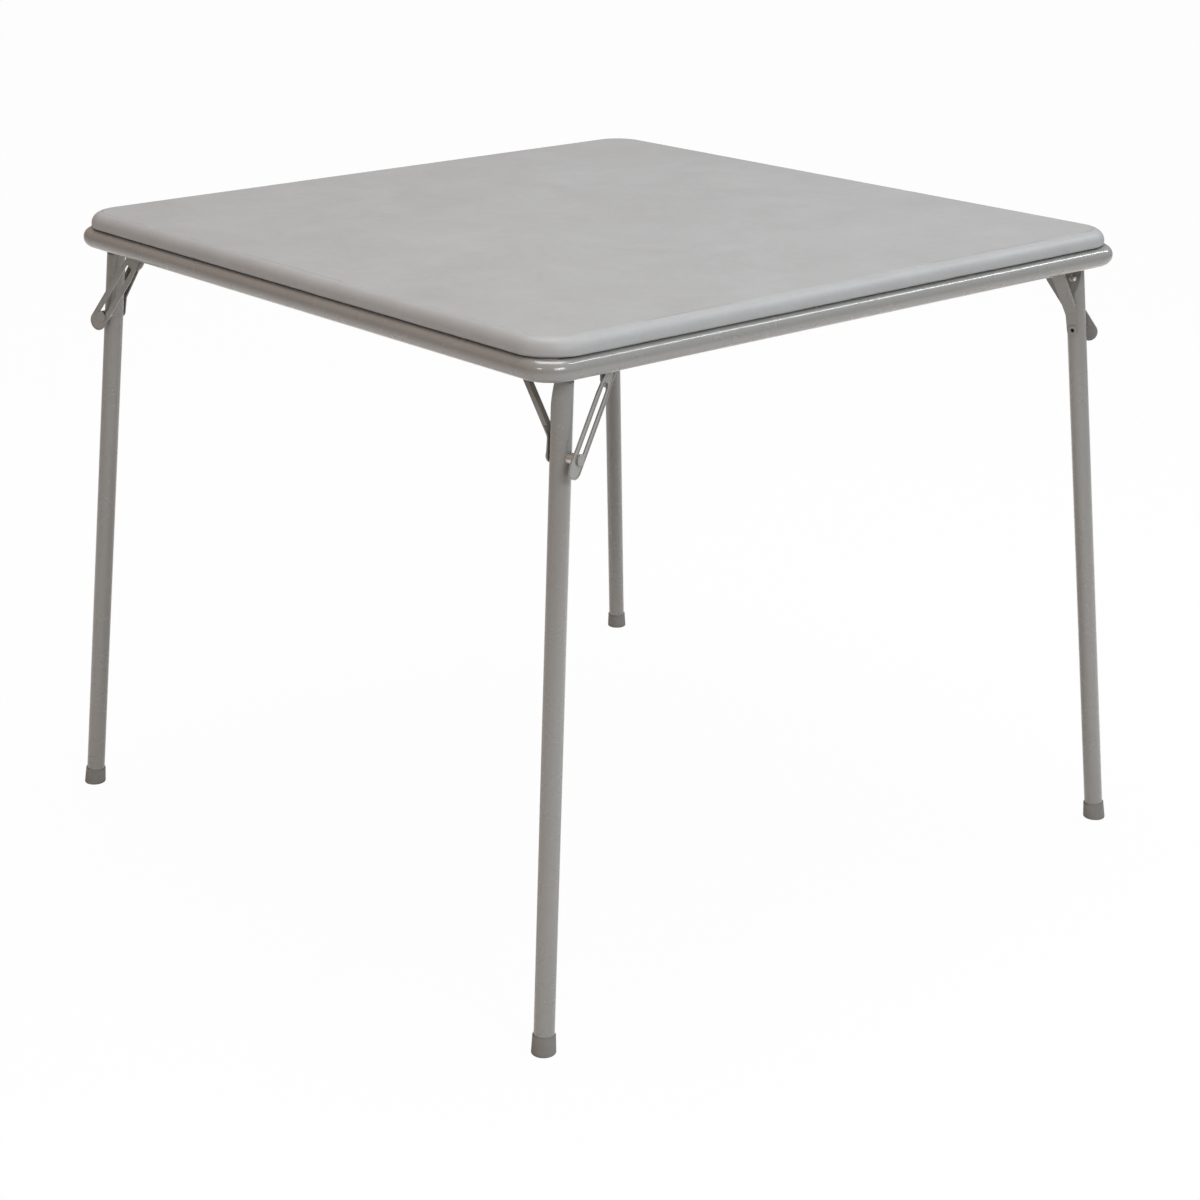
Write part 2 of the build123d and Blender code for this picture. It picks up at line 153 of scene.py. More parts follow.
def makeHandledGroup():
    # handling marks: smudges that dull a gloss, hairline scratches and specks of dust
    tree, gin, gout = newGroup(
        "handledSurface",
        [("Vector", "NodeSocketVector", None), ("Smudge Scale", "NodeSocketFloat", 18.0),
         ("Scratch Scale", "NodeSocketFloat", 60.0), ("Dust", "NodeSocketFloat", 0.3)],
        [("Smudge", "NodeSocketFloat", None), ("Scratch", "NodeSocketFloat", None),
         ("Speck", "NodeSocketFloat", None)],
    )
    smudge = addNode(tree, "ShaderNodeTexNoise")
    setInputs(smudge, Detail=4.0, Roughness=0.6, Distortion=0.8)
    join(tree, gin.outputs["Vector"], smudge.inputs["Vector"])
    join(tree, gin.outputs["Smudge Scale"], smudge.inputs["Scale"])
    join(tree, rescale(tree, smudge.outputs["Fac"], 0.35, 0.7), gout.inputs["Smudge"])
    scratch = addNode(tree, "ShaderNodeTexNoise")
    setInputs(scratch, Detail=1.0, Roughness=0.4, Distortion=3.0)
    join(tree, gin.outputs["Vector"], scratch.inputs["Vector"])
    join(tree, gin.outputs["Scratch Scale"], scratch.inputs["Scale"])
    ridge = mathNode(tree, "ABSOLUTE", mathNode(tree, "SUBTRACT", scratch.outputs["Fac"], 0.5))
    line = rescale(tree, ridge, 0.0, 0.006, 1.0, 0.0)
    worn = rescale(tree, smudge.outputs["Fac"], 0.55, 0.62)
    join(tree, mathNode(tree, "MULTIPLY", line, worn), gout.inputs["Scratch"])
    speck = addNode(tree, "ShaderNodeTexVoronoi", feature="F1")
    setInputs(speck, Scale=420.0)
    join(tree, gin.outputs["Vector"], speck.inputs["Vector"])
    dot = rescale(tree, speck.outputs["Distance"], 0.04, 0.12, 1.0, 0.0)
    chance = rescale(tree, smudge.outputs["Fac"], 0.6, 0.75)
    dots = mathNode(tree, "MULTIPLY", dot, chance)
    join(tree, mathNode(tree, "MULTIPLY", dots, gin.outputs["Dust"]), gout.inputs["Speck"])
    return tree


def makeGrainGroup():
    # pebbled grain of two sizes, as height
    tree, gin, gout = newGroup(
        "pebbledGrain",
        [("Vector", "NodeSocketVector", None), ("Pebble Scale", "NodeSocketFloat", 700.0)],
        [("Height", "NodeSocketFloat", None)],
    )
    pebble = addNode(tree, "ShaderNodeTexVoronoi", feature="SMOOTH_F1")
    join(tree, gin.outputs["Vector"], pebble.inputs["Vector"])
    join(tree, gin.outputs["Pebble Scale"], pebble.inputs["Scale"])
    crease = addNode(tree, "ShaderNodeTexVoronoi", feature="DISTANCE_TO_EDGE")
    join(tree, gin.outputs["Vector"], crease.inputs["Vector"])
    creaseScale = mathNode(tree, "MULTIPLY", gin.outputs["Pebble Scale"], 0.45)
    join(tree, creaseScale, crease.inputs["Scale"])
    creaseMask = rescale(tree, crease.outputs["Distance"], 0.0, 0.16)
    sunk = mathNode(tree, "MULTIPLY", pebble.outputs["Distance"], -0.6)
    height = mathNode(tree, "ADD", sunk, creaseMask)
    join(tree, height, gout.inputs["Height"])
    return tree


cloudGroup = makeCloudGroup()
handledGroup = makeHandledGroup()
grainGroup = makeGrainGroup()


def newMaterial(name, **settings):
    material = bpy.data.materials.new(name)
    material.use_nodes = True
    shader = material.node_tree.nodes["Principled BSDF"]
    setInputs(shader, **settings)
    place = addNode(material.node_tree, "ShaderNodeTexCoord").outputs["Object"]
    return material, material.node_tree, shader, place


def addBump(tree, shader, height, distance, strength=1.0, after=None):
    bump = addNode(tree, "ShaderNodeBump")
    setInputs(bump, Strength=strength, Distance=distance)
    join(tree, height, bump.inputs["Height"])
    if after is not None:
        join(tree, after, bump.inputs["Normal"])
    join(tree, bump.outputs["Normal"], shader.inputs["Normal"])
    return bump.outputs["Normal"]


def roughen(tree, shader, handled, span):
    # smudges carry the roughness from the low end of the span to the high end
    rough = rescale(tree, handled.outputs["Smudge"], 0.0, 1.0, *span)
    join(tree, rough, shader.inputs["Roughness"])


# materials

vinylLook = {"dark": (0.372, 0.38, 0.386, 1), "light": (0.416, 0.428, 0.438, 1),
             "dust": (0.62, 0.61, 0.58, 1), "dustAmount": 0.25, "roughness": (0.4, 0.5),
             "smudgeScale": 9.0, "cloudScale": 13.0, "wispScale": 70.0, "softScale": 26.0,
             "softDepth": 0.0003, "pebbleScale": 800.0, "grainDepth": 0.00006}


def vinylMaterial():
    material, tree, shader, place = newMaterial("mottledVinyl", Specular_IOR_Level=0.45)
    look = vinylLook
    tone = useGroup(tree, cloudGroup, Cloud_Scale=look["cloudScale"], Wisp_Scale=look["wispScale"],
                    Dark=look["dark"], Light=look["light"])
    handled = useGroup(
        tree, handledGroup, Smudge_Scale=look["smudgeScale"], Dust=look["dustAmount"])
    grain = useGroup(tree, grainGroup, Pebble_Scale=look["pebbleScale"])
    for node in (tone, handled, grain):
        join(tree, place, node.inputs["Vector"])
    specked = mixColours(tree, handled.outputs["Speck"], tone.outputs["Color"], look["dust"])
    join(tree, specked, shader.inputs["Base Color"])
    roughen(tree, shader, handled, look["roughness"])
    soft = noiseOn(tree, place, look["softScale"], 3.0)
    softNormal = addBump(tree, shader, soft, look["softDepth"], 0.5)
    addBump(tree, shader, grain.outputs["Height"], look["grainDepth"], 0.6, softNormal)
    return material


enamelLook = {"base": (0.278, 0.278, 0.27, 1), "deep": (0.266, 0.266, 0.258, 1),
              "roughness": (0.25, 0.29)}
bracketLook = {"base": (0.27, 0.268, 0.258, 1), "deep": (0.25, 0.248, 0.238, 1),
               "roughness": (0.27, 0.33)}
wearLook = {"dust": (0.5, 0.49, 0.46, 1), "dustAmount": 0.5, "dustShare": 0.6, "toneScale": 7.0,
            "scratch": (0.42, 0.42, 0.41, 1), "scratchShare": 0.25, "scratchScale": 48.0,
            "scratchDepth": 0.000004, "smudgeScale": 24.0, "peelScale": 420.0,
            "peelDepth": 0.000003}


def enamelMaterial(name, look):
    material, tree, shader, place = newMaterial(name, Coat_Weight=1.0, Coat_Roughness=0.07)
    tone = noiseOn(tree, place, wearLook["toneScale"], 3.0)
    handled = useGroup(
        tree, handledGroup, Smudge_Scale=wearLook["smudgeScale"],
        Scratch_Scale=wearLook["scratchScale"], Dust=wearLook["dustAmount"])
    join(tree, place, handled.inputs["Vector"])
    colour = mixColours(tree, rescale(tree, tone, 0.3, 0.7), look["base"], look["deep"])
    dust = mathNode(tree, "MULTIPLY", handled.outputs["Speck"], wearLook["dustShare"])
    scratch = mathNode(tree, "MULTIPLY", handled.outputs["Scratch"], wearLook["scratchShare"])
    colour = mixColours(tree, dust, colour, wearLook["dust"])
    colour = mixColours(tree, scratch, colour, wearLook["scratch"])
    join(tree, colour, shader.inputs["Base Color"])
    roughen(tree, shader, handled, look["roughness"])
    peel = noiseOn(tree, place, wearLook["peelScale"], 2.0, 0.4)
    peelNormal = addBump(tree, shader, peel, wearLook["peelDepth"], 0.2)
    addBump(tree, shader, handled.outputs["Scratch"], wearLook["scratchDepth"], 0.3, peelNormal)
    return material


zincLook = {"bright": (0.74, 0.77, 0.82, 1), "dull": (0.62, 0.6, 0.56, 1),
            "roughness": (0.22, 0.4), "smudgeScale": 160.0, "grainScale": 900.0,
            "grainDepth": 0.00002}


def zincMaterial():
    material, tree, shader, place = newMaterial("zincPlate", Metallic=1.0)
    handled = useGroup(tree, handledGroup, Smudge_Scale=zincLook["smudgeScale"])
    join(tree, place, handled.inputs["Vector"])
    tint = mixColours(tree, handled.outputs["Smudge"], zincLook["bright"], zincLook["dull"])
    join(tree, tint, shader.inputs["Base Color"])
    roughen(tree, shader, handled, zincLook["roughness"])
    grain = noiseOn(tree, place, zincLook["grainScale"], 2.0)
    addBump(tree, shader, grain, zincLook["grainDepth"], 0.5)
    return material


boardLook = {"dark": (0.19, 0.115, 0.062, 1), "light": (0.33, 0.215, 0.125, 1),
             "patch": (0.16, 0.1, 0.055, 1), "fibreScale": 90.0, "patchScale": 6.0,
             "screenScale": 120.0, "fuzzDepth": 0.0002, "screenDepth": 0.00025}


def hardboardMaterial():
    material, tree, shader, place = newMaterial("hardboard", Roughness=0.75)
    fibre = noiseOn(tree, place, boardLook["fibreScale"], 6.0, 0.7, 1.2)
    patch = noiseOn(tree, place, boardLook["patchScale"], 3.0)
    fibreMask = rescale(tree, fibre, 0.3, 0.7)
    colour = mixColours(tree, fibreMask, boardLook["dark"], boardLook["light"])
    patchMask = rescale(tree, patch, 0.4, 0.7, 0.0, 0.35)
    colour = mixColours(tree, patchMask, colour, boardLook["patch"])
    join(tree, colour, shader.inputs["Base Color"])
    weaveHeights = []
    for direction in ("X", "Y"):
        wave = addNode(tree, "ShaderNodeTexWave", wave_type="BANDS", bands_direction=direction)
        setInputs(wave, Scale=boardLook["screenScale"], Distortion=0.6, Detail=1.0)
        join(tree, place, wave.inputs["Vector"])
        weaveHeights.append(wave.outputs["Fac"])
    screen = mathNode(tree, "MULTIPLY", *weaveHeights)
    fuzz = addBump(tree, shader, fibre, boardLook["fuzzDepth"], 0.6)
    addBump(tree, shader, screen, boardLook["screenDepth"], 0.5, fuzz)
    return material


footLook = {"dark": (0.215, 0.212, 0.2, 1), "light": (0.25, 0.246, 0.235, 1),
            "scuff": (0.12, 0.115, 0.105, 1), "scuffHeight": 0.006, "scuffShare": 0.6,
            "roughness": (0.5, 0.68), "toneScale": 60.0, "smudgeScale": 70.0,
            "grainScale": 1300.0, "grainDepth": 0.00005}


def footMaterial():
    material, tree, shader, place = newMaterial("footRubber", Specular_IOR_Level=0.35)
    tone = noiseOn(tree, place, footLook["toneScale"], 4.0)
    handled = useGroup(tree, handledGroup, Smudge_Scale=footLook["smudgeScale"])
    join(tree, place, handled.inputs["Vector"])
    toneMask = rescale(tree, tone, 0.3, 0.7)
    colour = mixColours(tree, toneMask, footLook["dark"], footLook["light"])
    height = addNode(tree, "ShaderNodeSeparateXYZ")
    join(tree, place, height.inputs[0])
    low = rescale(tree, height.outputs["Z"], 0.0, footLook["scuffHeight"], 1.0, 0.0)
    scuff = mathNode(tree, "MULTIPLY", low, handled.outputs["Smudge"])
    scuff = mathNode(tree, "MULTIPLY", scuff, footLook["scuffShare"])
    colour = mixColours(tree, scuff, colour, footLook["scuff"])
    join(tree, colour, shader.inputs["Base Color"])
    roughen(tree, shader, handled, footLook["roughness"])
    grain = noiseOn(tree, place, footLook["grainScale"], 2.0)
    addBump(tree, shader, grain, footLook["grainDepth"], 0.7)
    return material


foamLook = {"deep": (0.62, 0.58, 0.45, 1), "pale": (0.78, 0.75, 0.62, 1), "cellScale": 900.0,
            "cellDepth": 0.0004}


def foamMaterial():
    material, tree, shader, place = newMaterial("paddingFoam", Roughness=0.95)
    cell = noiseOn(tree, place, foamLook["cellScale"], 2.0)
    colour = mixColours(tree, cell, foamLook["deep"], foamLook["pale"])
    join(tree, colour, shader.inputs["Base Color"])
    addBump(tree, shader, cell, foamLook["cellDepth"], 0.8)
    return material


materials = {
    "vinyl": vinylMaterial(),
    "frame_paint": enamelMaterial("greyEnamel", enamelLook),
    "bracket_paint": enamelMaterial("bracketEnamel", bracketLook),
    "zinc": zincMaterial(),
    "panel": hardboardMaterial(),
    "foot_plastic": footMaterial(),
    "foam": foamMaterial(),
}
print("materials made", len(materials))


# every CAD node gets its finish

def paintNode(node, material):
    mesh = node.data
    if not mesh.materials:
        mesh.materials.append(material)
    for index in range(len(mesh.materials)):
        mesh.materials[index] = material


for part in frame["record"]["subparts"]:
    paintNode(nodes[part["node"]], materials[part["material_slot"]])


def finishPiece(piece, body):
    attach(piece, body)


def newPiece(name, mesh, material):
    piece = bpy.data.objects.new(name, mesh)
    bpy.context.scene.collection.objects.link(piece)
    mesh.materials.clear()
    mesh.materials.append(material)
    for polygon in mesh.polygons:
        polygon.use_smooth = True
    return piece


# padded cover: one skin over the edge and a hem turned under the panel

coverLook = {"sideSteps": 90, "cornerSteps": 16, "topRings": 30, "rollRings": 12, "footRings": 6,
             "hemRings": 8, "radius": 0.045, "crown": 0.0012, "roll": 0.0135, "footRoll": 0.003,
             "hemWidth": 0.030, "skin": 0.0008, "tuck": 0.002, "ripple": 0.0004, "pull": 0.0006,
             "wobble": 0.00012, "waveScale": 22, "fineScale": 60, "wobbleScale": 9,
             "middleShare": 0.002, "ringSpacing": 1.35, "radiusLoss": 0.9, "leastRadius": 0.0005}


def roundedSquare(half, radius, sideSteps, cornerSteps):
    # points and outward directions, anticlockwise from the front left corner
    points = []
    for corner in range(4):
        turn = Matrix.Rotation(corner * math.pi / 2, 2)
        for step in range(cornerSteps):
            angle = math.pi + step / cornerSteps * math.pi / 2
            way = Vector((math.cos(angle), math.sin(angle)))
            centre = Vector((radius - half, radius - half))
            points.append((turn @ (centre + way * radius), turn @ way))
        for step in range(sideSteps):
            share = step / sideSteps
            along = (radius - half) + share * 2 * (half - radius)
            points.append((turn @ Vector((along, -half)), turn @ Vector((0, -1))))
    return points


def noiseAt(x, y, scale, layer):
    return noise.noise(Vector((x * scale, y * scale, layer)))


def makeCover():
    look = coverLook
    low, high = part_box("vinyl_cover")
    half = (high.x - low.x) / 2
    bottom = low.z
    edgeTop = high.z - look["crown"]
    foot = look["footRoll"]
    # each ring from the middle outwards: inset from the edge, height (None follows the crown)
    # and how much of the edge's ripple it takes
    profile = []
    for ring in range(look["topRings"]):
        widest = half * (1 - look["middleShare"])
        inset = widest * (1 - (ring / look["topRings"])) ** look["ringSpacing"]
        profile.append((max(inset, look["roll"]), None, 0.0))
    for step in range(look["rollRings"] + 1):
        angle = step / look["rollRings"] * math.pi / 2
        inset = look["roll"] * (1 - math.sin(angle))
        height = edgeTop - look["roll"] * (1 - math.cos(angle))
        profile.append((inset, height, 0.4 * math.sin(angle)))
    for step in range(1, look["footRings"] + 1):
        angle = step / look["footRings"] * math.pi / 2
        height = bottom + foot - foot * math.sin(angle)
        profile.append((foot * (1 - math.cos(angle)), height, 1.0 - 0.5 * step / look["footRings"]))
    for step in range(1, look["hemRings"] + 1):
        share = step / look["hemRings"]
        profile.append((foot + (look["hemWidth"] - foot) * share, bottom, 0.4 * (1 - share)))
    profile.append((look["hemWidth"], bottom + look["skin"], 0.0))
    profile.append((foot, bottom + look["skin"], 0.0))
    profile.append((foot, bottom + look["skin"] + look["tuck"], 0.0))
    mesh = bpy.data.meshes.new("paddedCover")
    build = bmesh.new()
    rings = []
    for inset, height, rippleShare in profile:
        ring = []
        radius = max(look["radius"] - inset * look["radiusLoss"], look["leastRadius"])
        outline = roundedSquare(half - inset, radius, look["sideSteps"], look["cornerSteps"])
        for (x, y), way in outline:
            crown = look["crown"] * (1 - min(1.0, (x * x + y * y) / (half * half)))
            z = height if height is not None else edgeTop + crown
            wave = noiseAt(x, y, look["waveScale"], 0.5)
            fine = noiseAt(x, y, look["fineScale"], 2.5)
            if rippleShare:
                push = rippleShare * (wave * look["ripple"] + fine * look["ripple"] * 0.5)
                x, y = x + way.x * push, y + way.y * push
                if height is not None and height < bottom + foot * 1.2:
                    z += rippleShare * look["pull"] * (wave + 0.5 * fine + 0.4)
            elif height is None:
                z += look["wobble"] * noiseAt(x, y, look["wobbleScale"], 1.5)
            ring.append(build.verts.new((x, y, z)))
        rings.append(ring)
    for inside, outside in zip(rings, rings[1:]):
        count = len(inside)
        for index in range(count):
            following = (index + 1) % count
            build.faces.new((inside[index], outside[index], outside[following], inside[following]))
    build.faces.new(rings[0])
    build.faces.new(list(reversed(rings[-1])))
    bmesh.ops.recalc_face_normals(build, faces=build.faces)
    build.to_mesh(mesh)
    build.free()
    return newPiece("paddedCover", mesh, materials["vinyl"])


cover = makeCover()
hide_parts("vinyl_cover", "foam_pad")
finishPiece(cover, rootBody)
print("padded cover made", len(cover.data.polygons), "faces")


# small fixings that repeat, set out by geometry nodes on the places of the CAD ones

fixingLook = {"stapleWire": 0.0007, "stapleWidth": 0.010, "stapleLeg": 0.004,
              "screwHead": 0.007, "screwRise": 0.0016, "crossWidth": 0.0009,
              "crossReach": 0.0042, "crossDepth": 0.0009, "scatter": 0.06}
weldReach = 0.00001


def islandBoxes(node):
    # low and high corner of every separate shell of a node
    build = bmesh.new()
    build.from_mesh(node.data)
    build.transform(node.matrix_world)
    bmesh.ops.remove_doubles(build, verts=build.verts, dist=weldReach)
    left, boxes = set(build.verts), []
    while left:
        stack, shell = [left.pop()], []
        while stack:
            vertex = stack.pop()
            shell.append(vertex.co.copy())
            for edge in vertex.link_edges:
                other = edge.other_vert(vertex)
                if other in left:
                    left.remove(other)
                    stack.append(other)
        boxes.append([Vector(pick(point[axis] for point in shell) for axis in range(3))
                      for pick in (min, max)])
    build.free()
    return sorted(boxes, key=lambda box: tuple(round(value, 4) for value in box[0]))


def newTree(name):
    tree = bpy.data.node_groups.new(name, "GeometryNodeTree")
    tree.interface.new_socket(name="Geometry", in_out="INPUT", socket_type="NodeSocketGeometry")
    finish = tree.interface.new_socket(
        name="Finish", in_out="INPUT", socket_type="NodeSocketMaterial")
    tree.interface.new_socket(name="Geometry", in_out="OUTPUT", socket_type="NodeSocketGeometry")
    return tree, finish, tree.nodes.new("NodeGroupInput"), tree.nodes.new("NodeGroupOutput")


def sizeInputs(tree, pairs):
    # a named input of the tree for each size, and the value that the modifier gives it
    sizes = {}
    for name, key in pairs:
        socket = tree.interface.new_socket(
            name=name, in_out="INPUT", socket_type="NodeSocketFloat")
        socket.default_value = fixingLook[key]
        sizes[socket.identifier] = fixingLook[key]
    return sizes


def combine(tree, x=0.0, y=0.0, z=0.0):
    node = tree.nodes.new("ShaderNodeCombineXYZ")
    for index, value in enumerate((x, y, z)):
        if isinstance(value, (int, float)):
            node.inputs[index].default_value = value
        else:
            join(tree, value, node.inputs[index])
    return node.outputs[0]


def setOut(tree, gin, gout, instance, seed):
    # one instance on each point, turned by the point's own angle and a slight fixed scatter
    scatter = addNode(tree, "FunctionNodeRandomValue", data_type="FLOAT")
    scatter.inputs[2].default_value = -fixingLook["scatter"]
    scatter.inputs[3].default_value = fixingLook["scatter"]
    scatter.inputs["Seed"].default_value = seed
    turn = addNode(tree, "GeometryNodeInputNamedAttribute", data_type="FLOAT")
    turn.inputs["Name"].default_value = "turn"
    angle = mathNode(tree, "ADD", turn.outputs[0], scatter.outputs[1])
    place = tree.nodes.new("GeometryNodeInstanceOnPoints")
    join(tree, gin.outputs["Geometry"], place.inputs["Points"])
    join(tree, instance, place.inputs["Instance"])
    join(tree, combine(tree, z=angle), place.inputs["Rotation"])
    real = tree.nodes.new("GeometryNodeRealizeInstances")
    join(tree, place.outputs[0], real.inputs[0])
    paint = tree.nodes.new("GeometryNodeSetMaterial")
    join(tree, real.outputs[0], paint.inputs["Geometry"])
    join(tree, gin.outputs["Finish"], paint.inputs["Material"])
    join(tree, paint.outputs[0], gout.inputs[0])


def stapleTree():
    # wire crown with its two legs going up
    tree, finish, gin, gout = newTree("stapleRow")
    sizes = sizeInputs(tree, (
        ("Wire", "stapleWire"), ("Width", "stapleWidth"), ("Leg", "stapleLeg")))
    wireRadius = mathNode(tree, "MULTIPLY", gin.outputs["Wire"], 0.5)
    halfWidth = mathNode(tree, "MULTIPLY", gin.outputs["Width"], 0.5)
    reach = mathNode(tree, "SUBTRACT", halfWidth, wireRadius)
    back = mathNode(tree, "MULTIPLY", reach, -1.0)
    bars = tree.nodes.new("GeometryNodeJoinGeometry")
    leg = gin.outputs["Leg"]
    lowLeft, lowRight = (back, 0.0), (reach, 0.0)
    for start, end in ((lowLeft, lowRight), (lowLeft, (back, leg)), (lowRight, (reach, leg))):
        line = tree.nodes.new("GeometryNodeCurvePrimitiveLine")
        join(tree, combine(tree, x=start[0], z=start[1]), line.inputs["Start"])
        join(tree, combine(tree, x=end[0], z=end[1]), line.inputs["End"])
        join(tree, line.outputs[0], bars.inputs[0])
    ring = tree.nodes.new("GeometryNodeCurvePrimitiveCircle")
    ring.inputs["Resolution"].default_value = 10
    join(tree, wireRadius, ring.inputs["Radius"])
    wire = tree.nodes.new("GeometryNodeCurveToMesh")
    join(tree, bars.outputs[0], wire.inputs["Curve"])
    join(tree, ring.outputs[0], wire.inputs["Profile Curve"])
    wire.inputs["Fill Caps"].default_value = True
    setOut(tree, gin, gout, wire.outputs[0], seed=3)
    return tree, finish.identifier, sizes


def screwTree():
    # domed head with a cross recess, facing down
    tree, finish, gin, gout = newTree("screwHeads")
    sizes = sizeInputs(tree, (
        ("Head", "screwHead"), ("Rise", "screwRise"), ("Cross Width", "crossWidth"),
        ("Cross Reach", "crossReach"), ("Cross Depth", "crossDepth")))
    ball = tree.nodes.new("GeometryNodeMeshUVSphere")
    ball.inputs["Segments"].default_value, ball.inputs["Rings"].default_value = 40, 24
    ball.inputs["Radius"].default_value = 1.0
    shape = tree.nodes.new("GeometryNodeTransform")
    join(tree, ball.outputs[0], shape.inputs["Geometry"])
    half = mathNode(tree, "MULTIPLY", gin.outputs["Head"], 0.5)
    join(tree, combine(tree, half, half, gin.outputs["Rise"]), shape.inputs["Scale"])
    cut = addNode(tree, "GeometryNodeMeshBoolean", operation="DIFFERENCE", solver="EXACT")
    join(tree, shape.outputs[0], cut.inputs[0])
    deep = mathNode(tree, "MULTIPLY", gin.outputs["Cross Depth"], 2.0)
    down = mathNode(tree, "MULTIPLY", gin.outputs["Rise"], -1.0)
    for wide, long in (("Cross Width", "Cross Reach"), ("Cross Reach", "Cross Width")):
        box = tree.nodes.new("GeometryNodeMeshCube")
        join(tree, combine(tree, gin.outputs[wide], gin.outputs[long], deep), box.inputs["Size"])
        lower = tree.nodes.new("GeometryNodeTransform")
        join(tree, box.outputs[0], lower.inputs["Geometry"])
        join(tree, combine(tree, z=down), lower.inputs["Translation"])
        join(tree, lower.outputs[0], cut.inputs[1])
    setOut(tree, gin, gout, cut.outputs[0], seed=7)
    return tree, finish.identifier, sizes


def fixings(name, nodeName, treeMaker, rise):
    # points of the CAD pieces, the tree's instances on them, kept as one plain mesh
    boxes = islandBoxes(nodes[nodeName])
    mesh = bpy.data.meshes.new(name + "Places")
    places = [((low.x + high.x) / 2, (low.y + high.y) / 2, low.z + rise) for low, high in boxes]
    mesh.from_pydata(places, [], [])
    turns = mesh.attributes.new("turn", "FLOAT", "POINT")
    for index, (low, high) in enumerate(boxes):
        across = high.y - low.y > high.x - low.x + millimetre
        turns.data[index].value = math.pi / 2 if across else 0.0
    holder = bpy.data.objects.new(name + "Places", mesh)
    bpy.context.scene.collection.objects.link(holder)
    tree, finishKey, sizes = treeMaker()
    modifier = holder.modifiers.new("fixings", "NODES")
    modifier.node_group = tree
    modifier[finishKey] = materials["zinc"]
    for key, value in sizes.items():
        modifier[key] = value
    bpy.context.view_layer.update()
    ready = holder.evaluated_get(bpy.context.evaluated_depsgraph_get())
    plain = bpy.data.meshes.new_from_object(ready)
    plain.name = name
    holder.modifiers.clear()
    bpy.data.objects.remove(holder)
    piece = newPiece(name, plain, materials["zinc"])
    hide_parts(nodeName)
    finishPiece(piece, rootBody)
    print(name, "made", len(boxes), "places", len(plain.polygons), "faces")


fixings("hemStaples", "cover_staples", stapleTree, fixingLook["stapleWire"] / 2)
fixings("plateScrews", "panel_screws", screwTree, fixingLook["screwRise"])


# stage: floor, world, lamps and camera

stageLook = {"floorSize": 40.0, "floorColour": (0.9, 0.9, 0.9, 1), "floorGlow": 0.97,
             "worldStrength": 0.52, "leftSky": (0.78, 0.55, 0.43, 1),
             "rightSky": (0.88, 0.97, 1.0, 1)}


def makeFloor():
    mesh = bpy.data.meshes.new("floor")
    reach = stageLook["floorSize"] / 2
    corners = [(-reach, -reach, 0), (reach, -reach, 0), (reach, reach, 0), (-reach, reach, 0)]
    mesh.from_pydata(corners, [], [(0, 1, 2, 3)])
    floor = bpy.data.objects.new("floor", mesh)
    bpy.context.scene.collection.objects.link(floor)
    material = bpy.data.materials.new("paleFloor")
    material.use_nodes = True
    tree = material.node_tree
    shader = tree.nodes["Principled BSDF"]
    setInputs(shader, Base_Color=stageLook["floorColour"], Roughness=0.9, Specular_IOR_Level=0.0)
    glow = addNode(tree, "ShaderNodeEmission")
    setInputs(glow, Color=(1, 1, 1, 1), Strength=1.0)
    ray = addNode(tree, "ShaderNodeLightPath")
    mixer = addNode(tree, "ShaderNodeMixShader")
    share = mathNode(tree, "MULTIPLY", ray.outputs["Is Camera Ray"], stageLook["floorGlow"])
    join(tree, share, mixer.inputs[0])
    join(tree, shader.outputs[0], mixer.inputs[1])
    join(tree, glow.outputs[0], mixer.inputs[2])
    # seen from below it lets the underside of the table show
    below = addNode(tree, "ShaderNodeNewGeometry").outputs["Backfacing"]
    oneSided = addNode(tree, "ShaderNodeMixShader")
    join(tree, below, oneSided.inputs[0])
    join(tree, mixer.outputs[0], oneSided.inputs[1])
    join(tree, addNode(tree, "ShaderNodeBsdfTransparent").outputs[0], oneSided.inputs[2])
    join(tree, oneSided.outputs[0], tree.nodes["Material Output"].inputs["Surface"])
    mesh.materials.append(material)


def makeWorld():
    world = bpy.data.worlds.new("studio")
    bpy.context.scene.world = world
    world.use_nodes = True
    tree = world.node_tree
    background = tree.nodes["Background"]
    place = addNode(tree, "ShaderNodeTexCoord")
    split = addNode(tree, "ShaderNodeSeparateXYZ")
    join(tree, place.outputs["Generated"], split.inputs[0])
    across = mathNode(tree, "SUBTRACT", split.outputs["X"], split.outputs["Y"])
    side = rescale(tree, across, -0.9, 0.9)
    colour = mixColours(tree, side, stageLook["leftSky"], stageLook["rightSky"])
    height = rescale(tree, split.outputs["Z"], 0.0, 0.9, 0.6, 1.15)
    lift = addNode(tree, "ShaderNodeCombineXYZ")
    for socket in lift.inputs:
        join(tree, height, socket)
    colour = mixColours(tree, 1.0, colour, lift.outputs[0], "MULTIPLY")
    ray = addNode(tree, "ShaderNodeLightPath")
    seen = mixColours(tree, ray.outputs["Is Camera Ray"], colour, (1, 1, 1, 1))
    join(tree, seen, background.inputs["Color"])
    dim = (stageLook["worldStrength"],) * 3 + (1,)
    strength = mixColours(tree, ray.outputs["Is Camera Ray"], dim, (1, 1, 1, 1))
    join(tree, strength, background.inputs["Strength"])


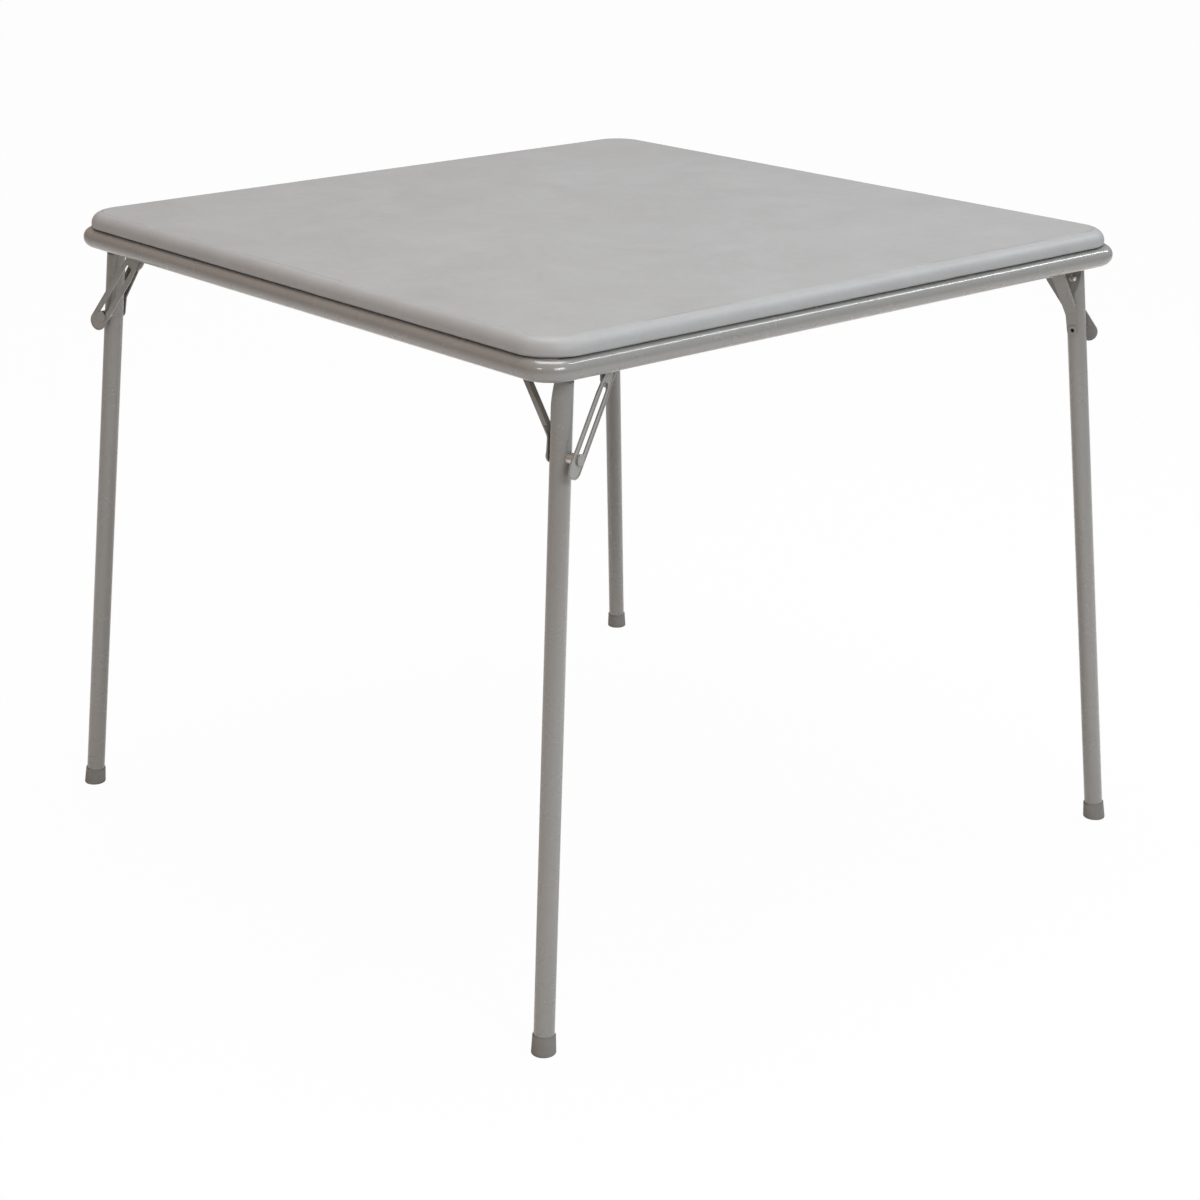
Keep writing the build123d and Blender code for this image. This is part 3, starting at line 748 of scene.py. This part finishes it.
lampSet = {  # place in metres, the way its long side lies, long side, short side, watts, colour
    "overheadBox": ((0.1, 0.1, 3.2), (1, -1, 0), 1.9, 1.5, 40, (0.98, 0.99, 1.0)),
    "rightStrip": ((2.2, -1.08, 2.66), (0.94, 0.11, -0.33), 2.8, 0.16, 22, (0.96, 0.98, 1.0)),
    "frontBox": ((-0.7, -2.9, 2.3), (1, 0, 0), 1.5, 0.8, 32, (1.0, 1.0, 1.0)),
    "leftBox": ((-2.8, -1.0, 2.3), (0, 1, 0), 0.6, 0.34, 8, (1.0, 0.86, 0.72)),
}


lampAim = (0, 0, 0.7)


def makeLamps():
    for name, (place, way, longSide, shortSide, watts, colour) in lampSet.items():
        data = bpy.data.lights.new(name, "AREA")
        data.shape, data.size, data.size_y = "RECTANGLE", longSide, shortSide
        data.energy, data.color = watts, colour
        lamp = bpy.data.objects.new(name, data)
        bpy.context.scene.collection.objects.link(lamp)
        back = (Vector(place) - Vector(lampAim)).normalized()
        along = Vector(way)
        along = (along - back * along.dot(back)).normalized()
        rotation = Matrix((along, back.cross(along), back)).transposed()
        lamp.matrix_world = Matrix.Translation(place) @ rotation.to_4x4()


cameraLook = {"place": (-1.8696, -2.1394, 1.2848), "yaw": -40.485, "pitch": 19.796, "roll": 0.138,
              "lens": 74.42, "shift": (0.0323, 0.0011)}


def makeCamera():
    data = bpy.data.cameras.new("studioCamera")
    data.sensor_width, data.lens = 36.0, cameraLook["lens"]
    data.shift_x, data.shift_y = cameraLook["shift"]
    data.clip_start, data.clip_end = 0.05, 100.0
    yaw, pitch, roll = (math.radians(cameraLook[key]) for key in ("yaw", "pitch", "roll"))
    right = Vector((math.cos(yaw), math.sin(yaw), 0))
    level = math.cos(pitch)
    back = Vector((math.sin(yaw) * level, -math.cos(yaw) * level, math.sin(pitch)))
    upward = back.cross(right)
    turned = right * math.cos(roll) + upward * math.sin(roll)
    upward = upward * math.cos(roll) - right * math.sin(roll)
    camera = bpy.data.objects.new("studioCamera", data)
    bpy.context.scene.collection.objects.link(camera)
    rotation = Matrix((turned, upward, back)).transposed()
    camera.matrix_world = Matrix.Translation(cameraLook["place"]) @ rotation.to_4x4()
    bpy.context.scene.camera = camera


makeFloor()
makeWorld()
makeLamps()
makeCamera()
bpy.context.scene.view_settings.view_transform = "Standard"
print("stage made")
